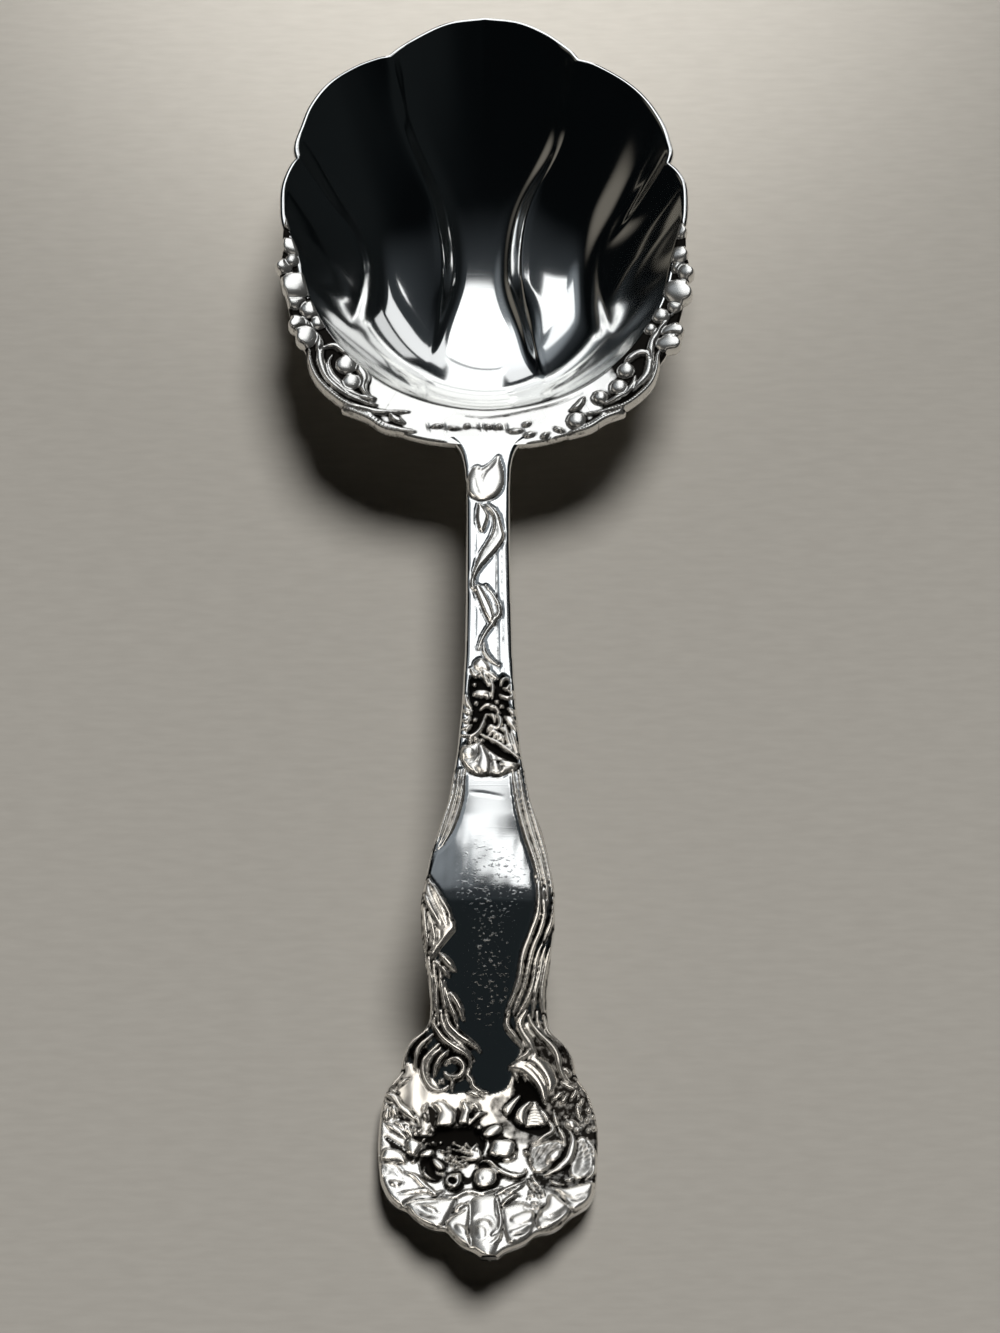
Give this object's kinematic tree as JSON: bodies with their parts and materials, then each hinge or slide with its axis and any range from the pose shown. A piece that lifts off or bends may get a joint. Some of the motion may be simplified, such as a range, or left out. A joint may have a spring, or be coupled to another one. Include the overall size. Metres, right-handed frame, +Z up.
{
  "type": "berry spoon",
  "caption": "Silver serving spoon with a lobed, fluted bowl, a scroll and bead border round its heel, and an arched handle with flower and vine relief and a plain polished panel.",
  "frame": {"origin": "middle of the spoon's footprint, on the table that it lies on, bowl up", "axes": "+Y from the handle's end to the bowl's tip, +Z up out of the bowl, +X to the right seen from the handle"},
  "size_m": [0.075, 0.2299, 0.0226],
  "materials": {
    "polished_silver": "mirror-polished silver with fine wear scratches",
    "relief_silver": "polished silver on the high spots, black oxidised recesses"
  },
  "bodies": {
    "root": {"bowl": "polished_silver", "handle_blank": "polished_silver", "heel_tongue": "polished_silver", "rim_scroll_left": "relief_silver", "rim_scroll_right": "relief_silver", "rim_band_front": "relief_silver", "stem_bud": "relief_silver", "stem_vine": "relief_silver", "stem_blossom": "relief_silver", "edge_vine_left": "relief_silver", "edge_vine_right": "relief_silver", "shoulder_curl_left": "relief_silver", "shoulder_curl_right": "relief_silver", "terminal_blossom": "relief_silver", "blossom_stamens": "relief_silver", "terminal_leaf_right": "relief_silver", "terminal_leaf_front": "relief_silver"}
  },
  "joints": []
}
